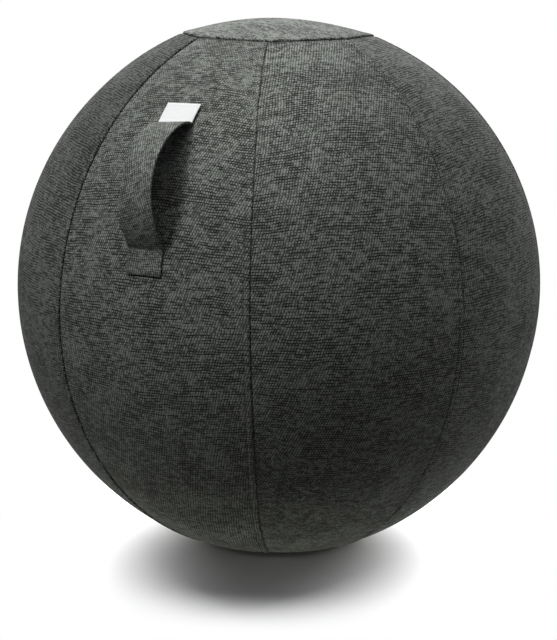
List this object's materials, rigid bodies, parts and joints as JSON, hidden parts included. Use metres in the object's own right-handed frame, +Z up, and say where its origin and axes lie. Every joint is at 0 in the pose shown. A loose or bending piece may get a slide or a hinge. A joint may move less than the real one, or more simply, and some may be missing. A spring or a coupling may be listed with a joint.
{
  "type": "sitting ball",
  "caption": "Inflated sitting ball in a zipped upholstery cover with eight side panels, an eight-sided top panel, a carry handle and a non-slip base with a stabilising ring.",
  "frame": {"origin": "on the floor, at the middle of the round base panel", "axes": "+Z up; the carry handle is on the front, at -Y, in the plane x = 0; +X is on the right of someone who looks at the handle"},
  "size_m": [0.65, 0.6595, 0.6564],
  "materials": {
    "cover_fabric": "dark grey melange upholstery weave",
    "strap_webbing": "doubled dark grey upholstery weave",
    "stitching": "dark grey polyester thread",
    "label_fabric": "blank white woven label",
    "base_leatherette": "non-slip grained leatherette, black",
    "liner_fabric": "plain black polyester lining",
    "ring_rubber": "filled rubber",
    "bladder_vinyl": "soft grey vinyl",
    "valve_plastic": "off-white moulded plastic",
    "zip_tape": "black polyester zip tape",
    "zip_plastic": "black moulded teeth",
    "zip_metal": "black lacquered metal"
  },
  "bodies": {
    "cover": {"side_panel_1": "cover_fabric", "side_panel_2": "cover_fabric", "side_panel_3": "cover_fabric", "side_panel_4": "cover_fabric", "side_panel_5": "cover_fabric", "side_panel_6": "cover_fabric", "side_panel_7": "cover_fabric", "side_panel_8": "cover_fabric", "top_panel": "cover_fabric", "base_panel": "base_leatherette", "seam_stitching": "stitching", "handle_root_upper": "strap_webbing", "handle_root_lower": "strap_webbing", "handle_tab_upper": "strap_webbing", "handle_tab_lower": "strap_webbing", "handle_stitching": "stitching", "handle_patch_upper": "liner_fabric", "handle_patch_lower": "liner_fabric", "label": "label_fabric", "stabiliser_ring": "ring_rubber", "ring_sleeve": "liner_fabric", "bladder": "bladder_vinyl", "valve_socket": "valve_plastic", "zip_tape_outer": "zip_tape", "zip_tape_inner": "zip_tape", "zip_teeth_outer": "zip_plastic", "zip_teeth_inner": "zip_plastic", "zip_stops": "zip_metal"},
    "handle": {"handle_strap": "strap_webbing"},
    "slider": {"zip_slider": "zip_metal"},
    "pull": {"zip_pull": "zip_metal"},
    "plug": {"valve_plug": "valve_plastic"}
  },
  "joints": [
    {"name": "handle_swing", "type": "hinge", "parent": "cover", "child": "handle", "pos_m": [0, -0.24595, 0.54334], "axis": [0, 0.4656, 0.885], "range_deg": [-30, 30], "stiffness_Nm_per_rad": 0.3, "deforming": ["handle_root_upper", "handle_root_lower"]},
    {"name": "zip_slide", "type": "hinge", "parent": "cover", "child": "slider", "pos_m": [0, 0, 0], "axis": [0, 0, 1], "range_deg": [0, 190], "deforming": ["zip_teeth_outer", "zip_teeth_inner"]},
    {"name": "pull_swing", "type": "hinge", "parent": "slider", "child": "pull", "pos_m": [0.09734, -0.00899, 0.00393], "axis": [-0.9958, 0.092, 0], "range_deg": [0, 165]},
    {"name": "plug_pull", "type": "slide", "parent": "cover", "child": "plug", "axis": [0, 0, -1], "range_m": [0, 0.008]}
  ]
}
